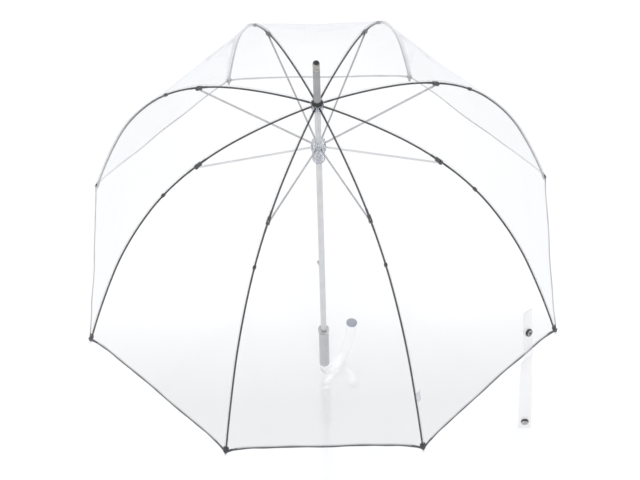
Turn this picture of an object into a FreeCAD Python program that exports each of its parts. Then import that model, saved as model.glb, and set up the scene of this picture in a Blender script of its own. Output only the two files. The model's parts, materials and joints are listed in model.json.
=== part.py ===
import FreeCAD, Part
import os
import math

# Clear dome umbrella on a straight shaft, open, standing on its crook.
# Millimetres, +Z up. The origin is on the shaft axis at the level of the crook's lowest point.

os.makedirs("parts", exist_ok=True)
doc = FreeCAD.newDocument("umbrella")
sheet = doc.addObject("Spreadsheet::Sheet", "Dims")

DRIVING = [
    # heights along the shaft
    ("shaft_foot_z", 41), ("shaft_top_z", 862), ("crown_pivot_z", 776.4), ("runner_pivot_z", 672),
    ("notch_low_z", 764), ("notch_top_z", 778.2), ("washer_low_z", 780.4), ("sleeve_low_z", 781.6),
    ("ferrule_top_z", 881), ("collar_low_z", 142), ("collar_top_z", 148.5),
    ("catch_low_z", 334), ("top_catch_low_z", 638), ("catch_long", 18),
    # round parts
    ("shaft_radius", 5), ("shaft_bore", 4.2), ("sleeve_radius", 5.8), ("cap_radius", 5.8),
    ("plug_radius", 4.6), ("washer_radius", 9.6), ("notch_radius", 10.5), ("crown_pivot_r", 8.5),
    ("runner_pivot_r", 12.6), ("runner_head_radius", 12.4), ("barrel_radius", 9.3),
    ("flange_radius", 10.6), ("runner_bore", 5.08), ("ring_wire", 0.4), ("collar_radius", 9.8),
    # ribs: the wire is a chain of tangent arcs, each with its length and its turn in degrees
    ("rib_count", 8), ("rib_first_angle", 22.5), ("rib_step", 45), ("rib_wire", 1.5),
    ("rib_start_slope", 2.17), ("arc_a_long", 128.3), ("arc_a_turn", 12.85), ("arc_b_long", 82.8),
    ("arc_b_turn", 14.83), ("arc_c_long", 117.6), ("arc_c_turn", 23.68), ("arc_d_long", 142.9),
    ("arc_d_turn", 15.53), ("arc_e_long", 170.7), ("arc_e_turn", 5.73),
    ("eye_radius", 1.5), ("eye_wide", 2.8), ("eye_hole", 0.6), ("slot_wide", 3.8),
    ("crimp_radius", 1.7), ("crimp_start", 4.5), ("crimp_long", 15),
    ("pin_drop", 3.6), ("pin_radius", 0.6), ("bracket_wide", 5.3), ("bracket_slot", 3.3),
    ("rib_gap", 2.4), ("tip_radius", 2.2), ("tip_long", 11), ("tip_cover", 5),
    ("stretcher_wide", 2.4), ("stretcher_tall", 2.4), ("channel_wall", 0.5),
    # canopy: profile halfway between two ribs, again tangent arcs
    ("film_thick", 0.8), ("film_top_z", 780.2), ("gore_slope", 1.44),
    ("gore_a_long", 128), ("gore_a_turn", 14.84), ("gore_b_long", 77.3), ("gore_b_turn", 15.57),
    ("gore_c_long", 112.4), ("gore_c_turn", 23.59), ("gore_d_long", 142.1), ("gore_d_turn", 15.02),
    ("gore_e_long", 175.3), ("gore_e_turn", 5.58),
    # crook handle: a tight quarter turn, a wider bend and a long slow one, then a straight arm
    ("hook_angle", 43), ("hook_radius", 9), ("bend_a_r", 20), ("bend_b_r", 30), ("bend_b_turn", 50),
    ("bend_c_r", 95), ("bend_c_turn", 33), ("arm_long", 28), ("end_cap_thick", 3),
    ("end_cap_radius", 9.6),
    # closing strap
    ("strap_wide", 21), ("strap_thick", 0.8), ("strap_base_long", 92), ("strap_tail_long", 209),
    ("strap_share", 0.78), ("strap_out", 4.8), ("strap_tilt", 12), ("tail_out", 6),
    ("snap_radius", 6.6), ("snap_thick", 2.6), ("snap_head", 1.4), ("stud_up", 52), ("socket_up", 24),
]
DERIVED = [
    ("arc_a_r", "=arc_a_long * 180 / (pi * arc_a_turn)"),
    ("arc_b_r", "=arc_b_long * 180 / (pi * arc_b_turn)"),
    ("arc_c_r", "=arc_c_long * 180 / (pi * arc_c_turn)"),
    ("arc_d_r", "=arc_d_long * 180 / (pi * arc_d_turn)"),
    ("arc_e_r", "=arc_e_long * 180 / (pi * arc_e_turn)"),
    ("slope_a", "=rib_start_slope + arc_a_turn"),
    ("slope_b", "=slope_a + arc_b_turn"),
    ("slope_c", "=slope_b + arc_c_turn"),
    ("slope_d", "=slope_c + arc_d_turn"),
    ("slope_e", "=slope_d + arc_e_turn"),
    # arc ends, r outward from the shaft axis and z up
    ("end_a_r", "=crown_pivot_r + arc_a_r * (sin(slope_a) - sin(rib_start_slope))"),
    ("end_a_z", "=crown_pivot_z + arc_a_r * (cos(slope_a) - cos(rib_start_slope))"),
    ("bracket_r", "=end_a_r + arc_b_r * (sin(slope_b) - sin(slope_a))"),
    ("bracket_z", "=end_a_z + arc_b_r * (cos(slope_b) - cos(slope_a))"),
    ("end_c_r", "=bracket_r + arc_c_r * (sin(slope_c) - sin(slope_b))"),
    ("end_c_z", "=bracket_z + arc_c_r * (cos(slope_c) - cos(slope_b))"),
    ("end_d_r", "=end_c_r + arc_d_r * (sin(slope_d) - sin(slope_c))"),
    ("end_d_z", "=end_c_z + arc_d_r * (cos(slope_d) - cos(slope_c))"),
    ("hem_r", "=end_d_r + arc_e_r * (sin(slope_e) - sin(slope_d))"),
    ("hem_z", "=end_d_z + arc_e_r * (cos(slope_e) - cos(slope_d))"),
    # hinge pin of the stretcher, below the rib wire at the bracket
    ("pin_r", "=bracket_r - pin_drop * sin(slope_b)"),
    ("pin_z", "=bracket_z - pin_drop * cos(slope_b)"),
    ("stretcher_drop", "=pin_z - runner_pivot_z"),
    ("stretcher_reach", "=pin_r - runner_pivot_r"),
    ("stretcher_long", "=sqrt(stretcher_drop^2 + stretcher_reach^2)"),
    ("stretcher_slope", "=atan(stretcher_drop / stretcher_reach)"),
    # crook: where its bends' centres lie, reach outward in its own upright plane
    ("bend_a_z", "=hook_radius + bend_a_r"),
    ("bend_b_z", "=hook_radius + bend_b_r"),
    ("arm_slope", "=bend_b_turn + bend_c_turn"),
    ("bend_c_reach", "=bend_a_r + (bend_b_r - bend_c_r) * sin(bend_b_turn)"),
    ("bend_c_z", "=bend_b_z + (bend_c_r - bend_b_r) * cos(bend_b_turn)"),
    ("arm_reach", "=bend_c_reach + bend_c_r * sin(arm_slope)"),
    ("arm_z", "=bend_c_z - bend_c_r * cos(arm_slope)"),
]
for row, (alias, value) in enumerate(DRIVING + DERIVED, 1):
    sheet.set(f"A{row}", alias)
    sheet.set(f"B{row}", str(value))
    sheet.setAlias(f"B{row}", alias)
doc.recompute()


def dim(alias):
    """A size from the sheet, in code."""
    return float(getattr(sheet, alias))


def bind(obj, **expressions):
    """Tie an object's properties to the sheet. Aliases are written with D. in front."""
    for name, text in expressions.items():
        obj.setExpression(name, str(text).replace("D.", "Dims."))
    return obj


def place(obj, base, turn="rotation(vector(0; 0; 1); 0)"):
    """Tie an object's placement: base is three expressions, turn a rotation expression."""
    text = "placement(vector({}; {}; {}); {})".format(*base, turn)
    obj.setExpression("Placement", text.replace("D.", "Dims."))
    return obj


def about(axis, angle):
    return "rotation(vector({}; {}; {}); {})".format(*axis, angle)


X, Y, Z = (1, 0, 0), (0, 1, 0), (0, 0, 1)
counts = {}


def named(kind, hint):
    counts[hint] = counts.get(hint, 0) + 1
    return doc.addObject(kind, f"{hint}_{counts[hint]}")


def cylinder(radius, height, base=(0, 0, 0), turn=about(Z, 0), hint="round"):
    obj = bind(named("Part::Cylinder", hint), Radius=radius, Height=height)
    return place(obj, base, turn)


def cone(radius_low, radius_top, height, base=(0, 0, 0), turn=about(Z, 0), hint="cone"):
    obj = bind(named("Part::Cone", hint), Radius1=radius_low, Radius2=radius_top, Height=height)
    return place(obj, base, turn)


def box(size, base=(0, 0, 0), turn=about(Z, 0), hint="block"):
    obj = bind(named("Part::Box", hint), Length=size[0], Width=size[1], Height=size[2])
    return place(obj, base, turn)


def ball(radius, base, hint="ball"):
    return place(bind(named("Part::Sphere", hint), Radius=radius), base)


def ring(radius, wire, base, sweep=360, turn=about(Z, 0), hint="ring"):
    obj = bind(named("Part::Torus", hint), Radius1=radius, Radius2=wire, Angle3=sweep)
    return place(obj, base, turn)


def fuse(tools, hint="fuse"):
    obj = named("Part::MultiFuse", hint)
    obj.Shapes = tools
    return obj


def common(tools, hint="common"):
    obj = named("Part::MultiCommon", hint)
    obj.Shapes = tools
    return obj


def cut(base, tools, hint="cut"):
    obj = named("Part::Cut", hint)
    obj.Base = base
    obj.Tool = tools[0] if len(tools) == 1 else fuse(tools, hint + "_tools")
    return obj


def node(obj, label, azimuth=None):
    """Make an object a named subcomponent. azimuth turns it about the shaft axis."""
    obj.Label = label
    if azimuth is not None:
        place(obj, (0, 0, 0), about(Z, azimuth))
    nodes.append(obj)
    return obj


nodes = []
AZIMUTHS = [f"(D.rib_first_angle + {k} * D.rib_step)" for k in range(int(dim("rib_count")))]


# ---------------------------------------------------------------- shaft, ferrule, crown

def spring_slot(low, hint):
    """Slot in the shaft wall, on the -X side, that a catch spring comes out of."""
    return box((6, 1.8, "D.catch_long + 2.4"), (-7, -0.9, f"{low} - 1.2"), hint=hint)


def on_axis(z):
    return (0, 0, z)


def shaft():
    blank = cylinder("D.shaft_radius", "D.shaft_top_z - D.shaft_foot_z", on_axis("D.shaft_foot_z"),
                     hint="shaft_blank")
    bore = cylinder("D.shaft_bore", "D.shaft_top_z - D.shaft_foot_z + 2", on_axis("D.shaft_foot_z - 1"),
                    hint="shaft_bore")
    slots = [spring_slot("D.catch_low_z", "low_slot"), spring_slot("D.top_catch_low_z", "top_slot")]
    node(cut(blank, [bore] + slots, "shaft"), "shaft_tube")


def foot_plug():
    stem = cylinder("D.shaft_bore", 8, on_axis("D.shaft_foot_z"), hint="foot_stem")
    end = place(named("Part::Sphere", "foot_round"), on_axis("D.shaft_foot_z"), about(X, 180))
    bind(end, Radius="D.shaft_radius", Angle1=0)
    node(fuse([stem, end], "foot"), "shaft_foot_plug")


def ferrule():
    sleeve = cylinder("D.sleeve_radius", "D.shaft_top_z - D.sleeve_low_z", on_axis("D.sleeve_low_z"),
                      hint="sleeve")
    sleeve_bore = cylinder("D.shaft_radius", "D.shaft_top_z - D.sleeve_low_z + 2",
                           on_axis("D.sleeve_low_z - 1"), hint="sleeve_bore")
    node(cut(sleeve, [sleeve_bore], "sleeve_cut"), "ferrule_sleeve")
    wall = cylinder("D.cap_radius", "D.ferrule_top_z - D.shaft_top_z - 2", on_axis("D.shaft_top_z"),
                    hint="cap_wall")
    lip = cone("D.cap_radius", "D.cap_radius - 0.6", 2, on_axis("D.ferrule_top_z - 2"), hint="cap_lip")
    bore = cylinder("D.plug_radius - 0.5", 20, on_axis("D.shaft_top_z - 1"), hint="cap_bore")
    mouth = cylinder("D.plug_radius", 4, on_axis("D.ferrule_top_z - 2.5"), hint="cap_mouth")
    node(cut(fuse([wall, lip], "cap_body"), [bore, mouth], "cap"), "ferrule_cap")
    disc = cylinder("D.plug_radius", 3.2, on_axis("D.ferrule_top_z - 2.5"), hint="plug_disc")
    dish = cone(2.2, 3.2, 0.7, on_axis("D.ferrule_top_z"), hint="plug_dish")
    node(cut(disc, [dish], "plug"), "ferrule_plug")


def top_washer():
    disc = cylinder("D.washer_radius", 1.2, on_axis("D.washer_low_z"), hint="washer")
    bore = cylinder("D.shaft_radius", 4, on_axis("D.washer_low_z - 1"), hint="washer_bore")
    rim = ring("D.washer_radius", 0.5, on_axis("D.washer_low_z + 1.2"), hint="washer_rim")
    node(cut(disc, [bore, rim], "washer_cut"), "top_washer")


def radial_slots(inner, length, low, height, hint):
    """One upright slot per rib, starting at the inner radius."""
    slots = []
    for azimuth in AZIMUTHS:
        corner = (f"{inner} * cos{azimuth} + D.slot_wide / 2 * sin{azimuth}",
                  f"{inner} * sin{azimuth} - D.slot_wide / 2 * cos{azimuth}", low)
        slots.append(box((length, "D.slot_wide", height), corner, about(Z, azimuth), hint))
    return slots


def crown():
    """Slotted crown: the ribs' eyes hang in its slots on a closed wire ring."""
    blank = cylinder("D.notch_radius", "D.notch_top_z - D.notch_low_z - 3", on_axis("D.notch_low_z + 3"),
                     hint="notch_blank")
    neck = cone(7.2, "D.notch_radius", 3, on_axis("D.notch_low_z"), hint="notch_neck")
    bore = cylinder("D.shaft_radius + 0.05", 30, on_axis("D.notch_low_z - 5"), hint="notch_bore")
    groove = ring("D.crown_pivot_r", "D.ring_wire", on_axis("D.crown_pivot_z"), hint="notch_groove")
    slots = radial_slots(6.7, 8, "D.notch_low_z - 5", 30, "notch_slot")
    node(cut(fuse([blank, neck], "notch_body"), [bore, groove] + slots, "notch"), "crown_notch")
    wire = ring("D.crown_pivot_r", "D.ring_wire", on_axis("D.crown_pivot_z"), hint="crown_ring")
    node(wire, "crown_wire")


shaft()
foot_plug()
ferrule()
top_washer()
crown()


# ---------------------------------------------------------------- canopy

GORE = [(f"gore_{arc}_long", f"gore_{arc}_turn") for arc in "abcde"]


def gore_points(inset):
    """Profile halfway between two ribs, from top centre to hem: start, middle and end of each arc."""
    slope = math.radians(dim("gore_slope"))
    r, z = 0.0, dim("film_top_z")
    points = [(r - inset * math.sin(slope), z - inset * math.cos(slope))]
    for long_name, turn_name in GORE:
        length, turn = dim(long_name), math.radians(dim(turn_name))
        radius = length / turn
        for share in (0.5, 1.0):
            a = slope + turn * share
            pr = r + radius * (math.sin(a) - math.sin(slope))
            pz = z + radius * (math.cos(a) - math.cos(slope))
            points.append((pr - inset * math.sin(a), pz - inset * math.cos(a)))
        r += radius * (math.sin(slope + turn) - math.sin(slope))
        z += radius * (math.cos(slope + turn) - math.cos(slope))
        slope += turn
    return points


def arch(inset, label):
    """Closed sketch of a whole arch over two opposite gores, padded sideways. Its inside is solid."""
    body = doc.addObject("PartDesign::Body", label)
    plane = [f for f in body.Origin.OriginFeatures if f.Role == "XZ_Plane"][0]
    sketch = body.newObject("Sketcher::SketchObject", label + "_profile")
    sketch.AttachmentSupport = [(plane, "")]
    sketch.MapMode = "FlatFace"
    pts = gore_points(inset)
    top = pts[0][1]
    right = [(0.0, top)] + pts[1:]
    for side in (1, -1):
        for k in range(0, len(right) - 1, 2):
            a, b, c = (FreeCAD.Vector(side * p[0], p[1], 0) for p in right[k:k + 3])
            sketch.addGeometry(Part.Arc(a, b, c), False)
    hem_right = FreeCAD.Vector(right[-1][0], right[-1][1], 0)
    hem_left = FreeCAD.Vector(-right[-1][0], right[-1][1], 0)
    sketch.addGeometry(Part.LineSegment(hem_right, hem_left), False)
    pad = body.newObject("PartDesign::Pad", label + "_pad")
    pad.Profile = sketch
    pad.Length = 1000
    pad.Midplane = True
    doc.recompute()
    return body


def arch_copies(source, hint):
    """The arch turned to lie over each pair of opposite gores."""
    copies = []
    for k in range(4):
        copy = named("Part::Feature", hint)
        copy.Shape = source.Shape.copy()
        turn = FreeCAD.Rotation(FreeCAD.Vector(0, 0, 1), dim("rib_step") * k)
        copy.Placement = FreeCAD.Placement(FreeCAD.Vector(), turn)
        copies.append(copy)
    return copies


dome_outer = common(arch_copies(arch(0, "outer_arch"), "outer_turn"), "dome_outer")
dome_inner = common(arch_copies(arch(dim("film_thick"), "inner_arch"), "inner_turn"), "dome_inner")
hem_trim = cylinder(500, 200, (0, 0, "D.hem_z + 2 - 200"), hint="hem_trim")
crown_hole = cylinder(5.9, 40, (0, 0, "D.film_top_z - 20"), hint="crown_hole")
node(cut(dome_outer, [dome_inner, hem_trim, crown_hole], "film"), "canopy")


# ---------------------------------------------------------------- ribs and stretchers

ACROSS = about(X, 90)          # a ring laid into the rib's upright plane
SIDEWAYS = about(X, -90)       # a cylinder along the hinge direction


def rib_arc(radius, slope_low, slope_high, turn, start_r, start_z, hint):
    """One arc of the rib wire, from a start point whose slope below level is slope_low."""
    base = (f"{start_r} - {radius} * sin({slope_low})", 0, f"{start_z} - {radius} * cos({slope_low})")
    return ring(radius, "D.rib_wire", base, turn, f"{ACROSS} * {about(Z, f'90 - {slope_high}')}", hint)


def along(r, z, slope, out=0, up=0):
    """A point in the rib plane, moved out along the wire and up square to it."""
    return (f"{r} + ({out}) * cos({slope}) + ({up}) * sin({slope})", 0,
            f"{z} - ({out}) * sin({slope}) + ({up}) * cos({slope})")


def with_y(point, y):
    return (point[0], y, point[2])


def wire_frame(slope):
    """Turns a box so that its length runs along the wire and its height square to it."""
    return about(Y, slope)


def centred(point, wide):
    """The same point, moved sideways so that a piece of this width straddles the rib plane."""
    return with_y(point, f"-({wide}) / 2")


def hinge_round(radius, wide, point, hint):
    """A cylinder along the hinge direction, straddling the rib plane."""
    return cylinder(radius, wide, centred(point, wide), SIDEWAYS, hint)


def at_crown(out):
    return along("D.crown_pivot_r", "D.crown_pivot_z", "D.rib_start_slope + 1", out)


def at_bracket(out=0, up=0):
    return along("D.bracket_r", "D.bracket_z", "D.slope_b", out, up)


def bracket_block(length, wide, height, corner, hint):
    """A block turned to the rib's slope at the bracket."""
    return box((length, wide, height), centred(corner, wide), wire_frame("D.slope_b"), hint)


def second_arc(hint):
    return rib_arc("D.arc_b_r", "D.slope_a", "D.slope_b", "D.arc_b_turn", "D.end_a_r", "D.end_a_z", hint)


def last_arc(hint):
    return rib_arc("D.arc_e_r", "D.slope_d", "D.slope_e", "D.arc_e_turn", "D.end_d_r", "D.end_d_z", hint)


def inner_rib(number, azimuth):
    """Wire from the crown eye to the bracket, with a crimped sleeve at the eye."""
    first_arc = rib_arc("D.arc_a_r", "D.rib_start_slope", "D.slope_a", "D.arc_a_turn", "D.crown_pivot_r",
                        "D.crown_pivot_z", "rib_arc_a")
    crown_point = ("D.crown_pivot_r", 0, "D.crown_pivot_z")
    eye = hinge_round("D.eye_radius", "D.eye_wide", crown_point, "rib_eye")
    crimp = cylinder("D.crimp_radius", "D.crimp_long", at_crown("D.crimp_start"),
                     about(Y, "90 + D.rib_start_slope + 1"), "crown_crimp")
    eye_bore = hinge_round("D.eye_hole", 8, crown_point, "eye_bore")
    end_trim = bracket_block(30, 12, 12, at_bracket("-D.rib_gap", -6), "inner_trim")
    wire = fuse([first_arc, second_arc("rib_arc_b"), eye, crimp], "inner_wire")
    node(cut(wire, [eye_bore, end_trim], "rib_inner"), f"rib_{number}_inner", azimuth)


def bracket(number, azimuth):
    """A crimped sleeve on the wire with two cheeks that carry both hinge pins."""
    sleeve_start = along("D.bracket_r", "D.bracket_z", "D.slope_b - 1", -20)
    sleeve = cylinder(1.9, 16, sleeve_start, about(Y, "90 + D.slope_b - 1"), "bracket_sleeve")
    nose = hinge_round("D.pin_drop / 2 + 1.2", "D.bracket_wide", at_bracket(0.6, "-D.pin_drop / 2"),
                       "bracket_nose")
    heel = bracket_block(11, "D.bracket_wide", "D.pin_drop + 0.8",
                         at_bracket(-10, "-D.pin_drop / 2 - 1.2"), "bracket_heel")
    mouth = bracket_block(40, "D.bracket_slot", 30, at_bracket(-2.4, -15), "bracket_mouth")
    throat = bracket_block(40, "D.bracket_slot", 30, at_bracket(-40, -31.5), "bracket_throat")
    shell = cut(fuse([sleeve, nose, heel], "bracket_shell"),
                [mouth, throat, second_arc("bracket_wire_hole")], "bracket_open")
    pins = [hinge_round("D.pin_radius", "D.bracket_wide", at_bracket(0, up), "bracket_pin")
            for up in (0, "-D.pin_drop")]
    node(fuse([shell] + pins, "bracket"), f"rib_{number}_bracket", azimuth)


def outer_rib(number, azimuth):
    """Wire from the bracket to the hem, its knuckle turning on the bracket's upper pin."""
    third_arc = rib_arc("D.arc_c_r", "D.slope_b", "D.slope_c", "D.arc_c_turn", "D.bracket_r",
                        "D.bracket_z", "rib_arc_c")
    fourth_arc = rib_arc("D.arc_d_r", "D.slope_c", "D.slope_d", "D.arc_d_turn", "D.end_c_r",
                         "D.end_c_z", "rib_arc_d")
    knuckle = hinge_round(1.5, "D.bracket_slot - 0.3", at_bracket(), "knuckle")
    crimp_start = along("D.bracket_r", "D.bracket_z", "D.slope_b + 2", 5.5)
    crimp = cylinder("D.crimp_radius", 11, crimp_start, about(Y, "90 + D.slope_b + 2"), "outer_crimp")
    bore = hinge_round("D.pin_radius + 0.05", 8, at_bracket(), "knuckle_bore")
    wire = fuse([third_arc, fourth_arc, last_arc("rib_arc_e"), knuckle, crimp], "outer_wire")
    node(cut(wire, [bore], "rib_outer"), f"rib_{number}_outer", azimuth)


def rib_tip(number, azimuth):
    """Clear cover pushed on the rib's end."""
    stem_start = along("D.hem_r", "D.hem_z", "D.slope_e", "-D.tip_cover")
    stem = cylinder("D.tip_radius", "D.tip_long", stem_start, about(Y, "90 + D.slope_e"), "tip_stem")
    end = ball("D.tip_radius", along("D.hem_r", "D.hem_z", "D.slope_e", "D.tip_long - D.tip_cover"),
               "tip_round")
    cover = cut(fuse([stem, end], "tip_body"), [last_arc("tip_wire_hole")], "tip")
    node(cover, f"rib_{number}_tip", azimuth)


def stretcher(number, azimuth):
    """An open channel, pinned in the bracket, its lower end at the runner head."""
    def from_runner(out, up):
        return along("D.runner_pivot_r", "D.runner_pivot_z", "-D.stretcher_slope", out, up)

    incline = about(Y, "-D.stretcher_slope")
    inside = "D.stretcher_wide - 2 * D.channel_wall"
    rail = box(("D.stretcher_long - 0.7", "D.stretcher_wide", "D.stretcher_tall"),
               centred(from_runner(0, "-D.stretcher_tall / 2"), "D.stretcher_wide"), incline, "rail")
    gutter = box(("D.stretcher_long - 12", inside, "D.stretcher_tall"),
                 centred(from_runner(4, "-D.stretcher_tall / 2 - D.channel_wall"), inside), incline,
                 "gutter")
    high_point = ("D.pin_r", 0, "D.pin_z")
    low_point = ("D.runner_pivot_r", 0, "D.runner_pivot_z")
    high_eye = hinge_round("D.stretcher_tall / 2 + 0.2", "D.stretcher_wide", high_point, "high_eye")
    low_eye = hinge_round("D.stretcher_tall / 2", "D.stretcher_wide", low_point, "low_eye")
    high_bore = hinge_round("D.pin_radius + 0.05", 8, high_point, "high_bore")
    blank = fuse([rail, high_eye, low_eye], "stretcher_blank")
    node(cut(blank, [gutter, high_bore], "stretcher"), f"stretcher_{number}", azimuth)


for rib, angle in enumerate(AZIMUTHS, 1):
    for piece in (inner_rib, bracket, outer_rib, rib_tip, stretcher):
        piece(rib, angle)


# ---------------------------------------------------------------- runner and catch springs

def runner():
    """Slotted head for the stretchers' ends, grip barrel with a spring channel, foot flange."""
    head_low, head_top = "(D.runner_pivot_z - 13)", "(D.runner_pivot_z + 8)"
    foot = "(D.runner_pivot_z - 39)"
    parts = [
        cylinder("D.runner_head_radius", f"{head_top} - {head_low} - 2", on_axis(head_low),
                 hint="runner_head"),
        cone("D.runner_head_radius", "D.runner_head_radius - 2", 2, on_axis(f"{head_top} - 2"),
             hint="runner_crown"),
        cylinder("D.barrel_radius", f"{head_low} - {foot}", on_axis(foot), hint="runner_barrel"),
        cylinder("D.flange_radius", 6, on_axis(f"{foot} + 3"), hint="runner_flange"),
        cone(8.2, "D.flange_radius", 3, on_axis(foot), hint="runner_foot"),
    ]
    cuts = [cylinder("D.runner_bore", 90, on_axis(f"{foot} - 5"), hint="runner_bore"),
            ring("D.runner_head_radius - 1.7", "D.ring_wire", on_axis("D.runner_pivot_z"),
                 hint="runner_groove"),
            box((9, 2.6, 90), (-9.2, -1.3, f"{foot} - 5"), hint="spring_channel")]
    cuts += radial_slots(9.9, 8, head_low, 60, "runner_slot")
    for level in (12, 16.5, 21):
        cuts.append(ring("D.barrel_radius + 0.3", 0.8, on_axis(f"{foot} + {level}"), hint="grip_groove"))
    node(cut(fuse(parts, "runner_solid"), cuts, "runner"), "runner_body")
    wire = ring("D.runner_head_radius - 1.7", "D.ring_wire", on_axis("D.runner_pivot_z"),
                hint="runner_ring")
    node(wire, "runner_wire")


def catch_spring(low, label):
    """Flat spring inside the shaft: an upright leg and a wedge tooth through the slot on the -X side."""
    leg = box((0.7, 1.4, "D.catch_long + 16"), (-3.6, -0.7, f"{low} - 12"), hint="spring_leg")
    tooth = named("Part::Wedge", "spring_tooth")
    bind(tooth, Xmin=0, Xmax="D.catch_long", Ymin=0, Ymax=4.4, Zmin=0, Zmax=1.4,
         X2min="D.catch_long - 5", X2max="D.catch_long - 1", Z2min=0, Z2max=1.4)
    place(tooth, (-3.6, 0.7, low), f"{about(Y, -90)} * {about(X, 90)}")
    node(fuse([leg, tooth], "spring"), label)


runner()
catch_spring("D.catch_low_z", "bottom_catch_spring")
catch_spring("D.top_catch_low_z", "top_catch_spring")


# ---------------------------------------------------------------- crook handle

ARM_FRAME = f"{about(Z, 'D.hook_angle')} * {about(Y, '90 - D.arm_slope')}"      # up along the arm


def on_hook(reach, z):
    return (f"({reach}) * cos(D.hook_angle)", f"({reach}) * sin(D.hook_angle)", z)


def hook_bend(radius, reach, z, start, turn):
    """One bend of the crook round a centre in its upright plane, from a start angle above level."""
    frame = f"{about(Z, 'D.hook_angle')} * {about(X, 90)} * {about(Z, start)}"
    return ring(radius, "D.hook_radius", on_hook(reach, z), turn, frame, "hook_bend")


def hook():
    """Clear crook: straight stem round the shaft's foot, three bends, short arm."""
    stem = cylinder("D.hook_radius", "D.collar_low_z - D.bend_a_z", on_axis("D.bend_a_z"), hint="hook_stem")
    bends = [hook_bend("D.bend_a_r", "D.bend_a_r", "D.bend_a_z", 180, 90),
             hook_bend("D.bend_b_r", "D.bend_a_r", "D.bend_b_z", 270, "D.bend_b_turn"),
             hook_bend("D.bend_c_r", "D.bend_c_reach", "D.bend_c_z", "270 + D.bend_b_turn",
                       "D.bend_c_turn")]
    arm = cylinder("D.hook_radius", "D.arm_long", on_hook("D.arm_reach", "D.arm_z"), ARM_FRAME, "hook_arm")
    socket = cylinder("D.shaft_radius", 200, on_axis("D.shaft_foot_z"), hint="hook_socket")
    socket_round = ball("D.shaft_radius", on_axis("D.shaft_foot_z"), "socket_round")
    node(cut(fuse([stem] + bends + [arm], "hook_solid"), [socket, socket_round], "hook"), "handle_hook")


def on_arm(along_arm):
    """A point on the arm's axis, measured from where the last bend ends."""
    return on_hook(f"D.arm_reach + ({along_arm}) * cos(D.arm_slope)",
                   f"D.arm_z + ({along_arm}) * sin(D.arm_slope)")


def end_cap():
    straight = 1.8
    rim = cylinder("D.end_cap_radius", straight, on_arm("D.arm_long"), ARM_FRAME, "cap_low")
    dome = cone("D.end_cap_radius", "D.end_cap_radius - 1.2", f"D.end_cap_thick - {straight}",
                on_arm(f"D.arm_long + {straight}"), ARM_FRAME, "cap_dome")
    node(fuse([rim, dome], "end_cap"), "handle_end_cap")


def collar():
    """Bright ring over the handle's mouth, with two turned grooves and a chamfered lip."""
    solid = cylinder("D.collar_radius", "D.collar_top_z - D.collar_low_z - 1", on_axis("D.collar_low_z"),
                     hint="collar_solid")
    lip = cone("D.collar_radius", "D.collar_radius - 1.2", 1, on_axis("D.collar_top_z - 1"),
               hint="collar_lip")
    bore = cylinder("D.shaft_radius", 20, on_axis("D.collar_low_z - 5"), hint="collar_bore")
    grooves = [ring("D.collar_radius + 0.3", 0.8, on_axis(f"D.collar_low_z + {up}"), hint="collar_groove")
               for up in (1.8, 4.2)]
    node(cut(fuse([solid, lip], "collar_body"), [bore] + grooves, "collar"), "handle_collar")


hook()
end_cap()
collar()


# ---------------------------------------------------------------- closing strap

def add_dims(entries):
    """Adds values worked out in code to the sheet."""
    for row, (alias, value) in enumerate(entries, len(DRIVING + DERIVED) + 1):
        sheet.set(f"A{row}", alias)
        sheet.set(f"B{row}", str(round(value, 4)))
        sheet.setAlias(f"B{row}", alias)
    doc.recompute()


# the strap hangs between the seventh and eighth rib, strap_share of the way along the hem
low_rib, high_rib = (math.radians(dim("rib_first_angle") + dim("rib_step") * k) for k in (6, 7))
share = dim("strap_share")
gore_slope_end = dim("gore_slope") + sum(dim(turn_name) for long_name, turn_name in GORE)
add_dims([
    ("strap_x", dim("hem_r") * ((1 - share) * math.cos(low_rib) + share * math.cos(high_rib))),
    ("strap_y", dim("hem_r") * ((1 - share) * math.sin(low_rib) + share * math.sin(high_rib))),
    ("strap_lean", 90 - gore_slope_end + 1.5),
    ("gore_angle", math.degrees((low_rib + high_rib) / 2)),
])
GORE_FRAME = f"{about(Z, 'D.gore_angle')} * {about(Y, '-D.strap_lean')}"
BAND_FRAME = f"{GORE_FRAME} * {about(X, '-D.strap_tilt')}"
OUTWARD = about(Y, 90)         # a disc's axis turned from up the band to square off it


def on_band(out, side, up):
    """A point from the strap's hem point: out square to the film, side and up along the tilted band."""
    across = f"(({side}) * cos(D.strap_tilt) + ({up}) * sin(D.strap_tilt))"
    upward = f"(({up}) * cos(D.strap_tilt) - ({side}) * sin(D.strap_tilt))"
    level = f"(({out}) * cos(D.strap_lean) - {upward} * sin(D.strap_lean))"
    return (f"D.strap_x + {level} * cos(D.gore_angle) - {across} * sin(D.gore_angle)",
            f"D.strap_y + {level} * sin(D.gore_angle) + {across} * cos(D.gore_angle)",
            f"D.hem_z + ({out}) * sin(D.strap_lean) + {upward} * cos(D.strap_lean)")


def strap_base():
    """Band welded to the outside of the film above the hem, with the snap's stud half."""
    band = box(("D.strap_thick", "D.strap_wide", "D.strap_base_long"),
               on_band("D.strap_out", "-D.strap_wide / 2", 2), BAND_FRAME, "base_band")
    node(band, "strap_base")
    face = "D.strap_out + D.strap_thick"
    disc = cylinder("D.snap_radius", "D.snap_thick", on_band(face, 0, "D.stud_up"),
                    f"{BAND_FRAME} * {OUTWARD}", "stud_disc")
    head = cylinder("D.snap_radius - 2.2", "D.snap_head", on_band(f"{face} + D.snap_thick", 0, "D.stud_up"),
                    f"{BAND_FRAME} * {OUTWARD}", "stud_head")
    node(fuse([disc, head], "stud"), "strap_stud")


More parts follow.
